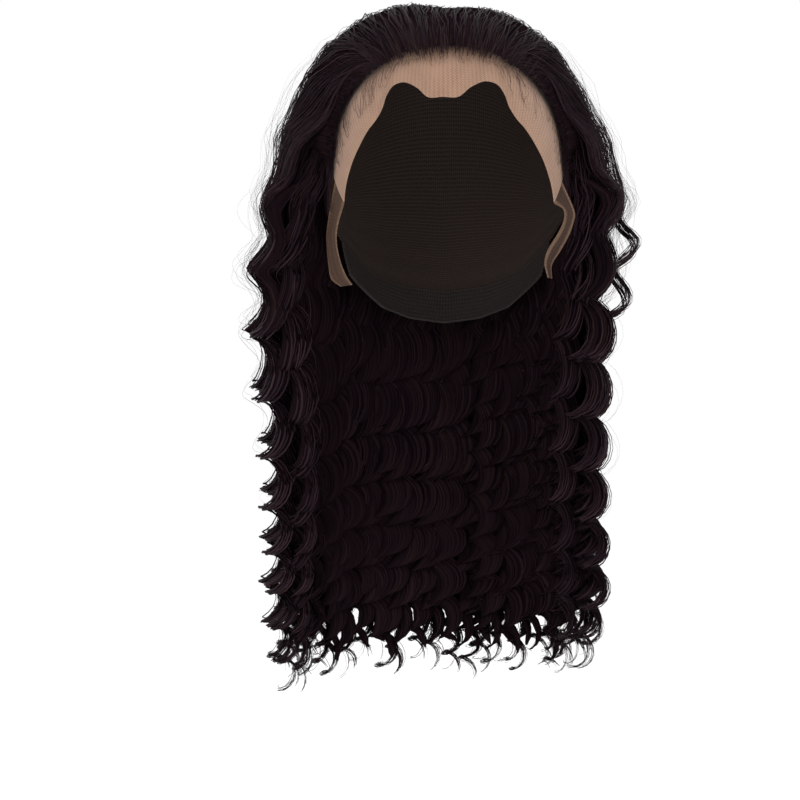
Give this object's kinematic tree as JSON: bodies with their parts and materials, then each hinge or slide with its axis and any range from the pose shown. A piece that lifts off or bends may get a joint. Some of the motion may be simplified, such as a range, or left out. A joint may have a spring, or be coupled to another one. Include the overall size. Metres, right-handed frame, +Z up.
{
  "type": "lace front wig",
  "caption": "Long deep-wave wig with a lace front, swept back over an open cap that fits on a head.",
  "frame": {"origin": "inner face of the cap where the crown of the head bears, as the wig is worn", "axes": "+Z up along the neck, the face side towards -Y, -X the left of someone who faces the wig"},
  "size_m": [0.2419, 0.215, 0.4526],
  "materials": {
    "tan_lace": "fine sheer net",
    "stretch_net": "matt open net",
    "elastic": "matt ribbed elastic",
    "dark_hair": "soft sheen, near-black brown"
  },
  "bodies": {
    "root": {"lace_front": "tan_lace", "ear_tab_left": "tan_lace", "ear_tab_right": "tan_lace", "cap_crown": "stretch_net", "nape_band": "elastic", "crown_hair": "dark_hair", "lock_left_1": "dark_hair", "lock_left_2": "dark_hair", "lock_left_3": "dark_hair", "lock_left_4": "dark_hair", "lock_left_5": "dark_hair", "lock_back_1": "dark_hair", "lock_back_2": "dark_hair", "lock_back_3": "dark_hair", "lock_back_4": "dark_hair", "lock_back_5": "dark_hair", "lock_back_6": "dark_hair", "lock_right_1": "dark_hair", "lock_right_2": "dark_hair", "lock_right_3": "dark_hair", "lock_right_4": "dark_hair", "lock_right_5": "dark_hair"}
  },
  "joints": []
}
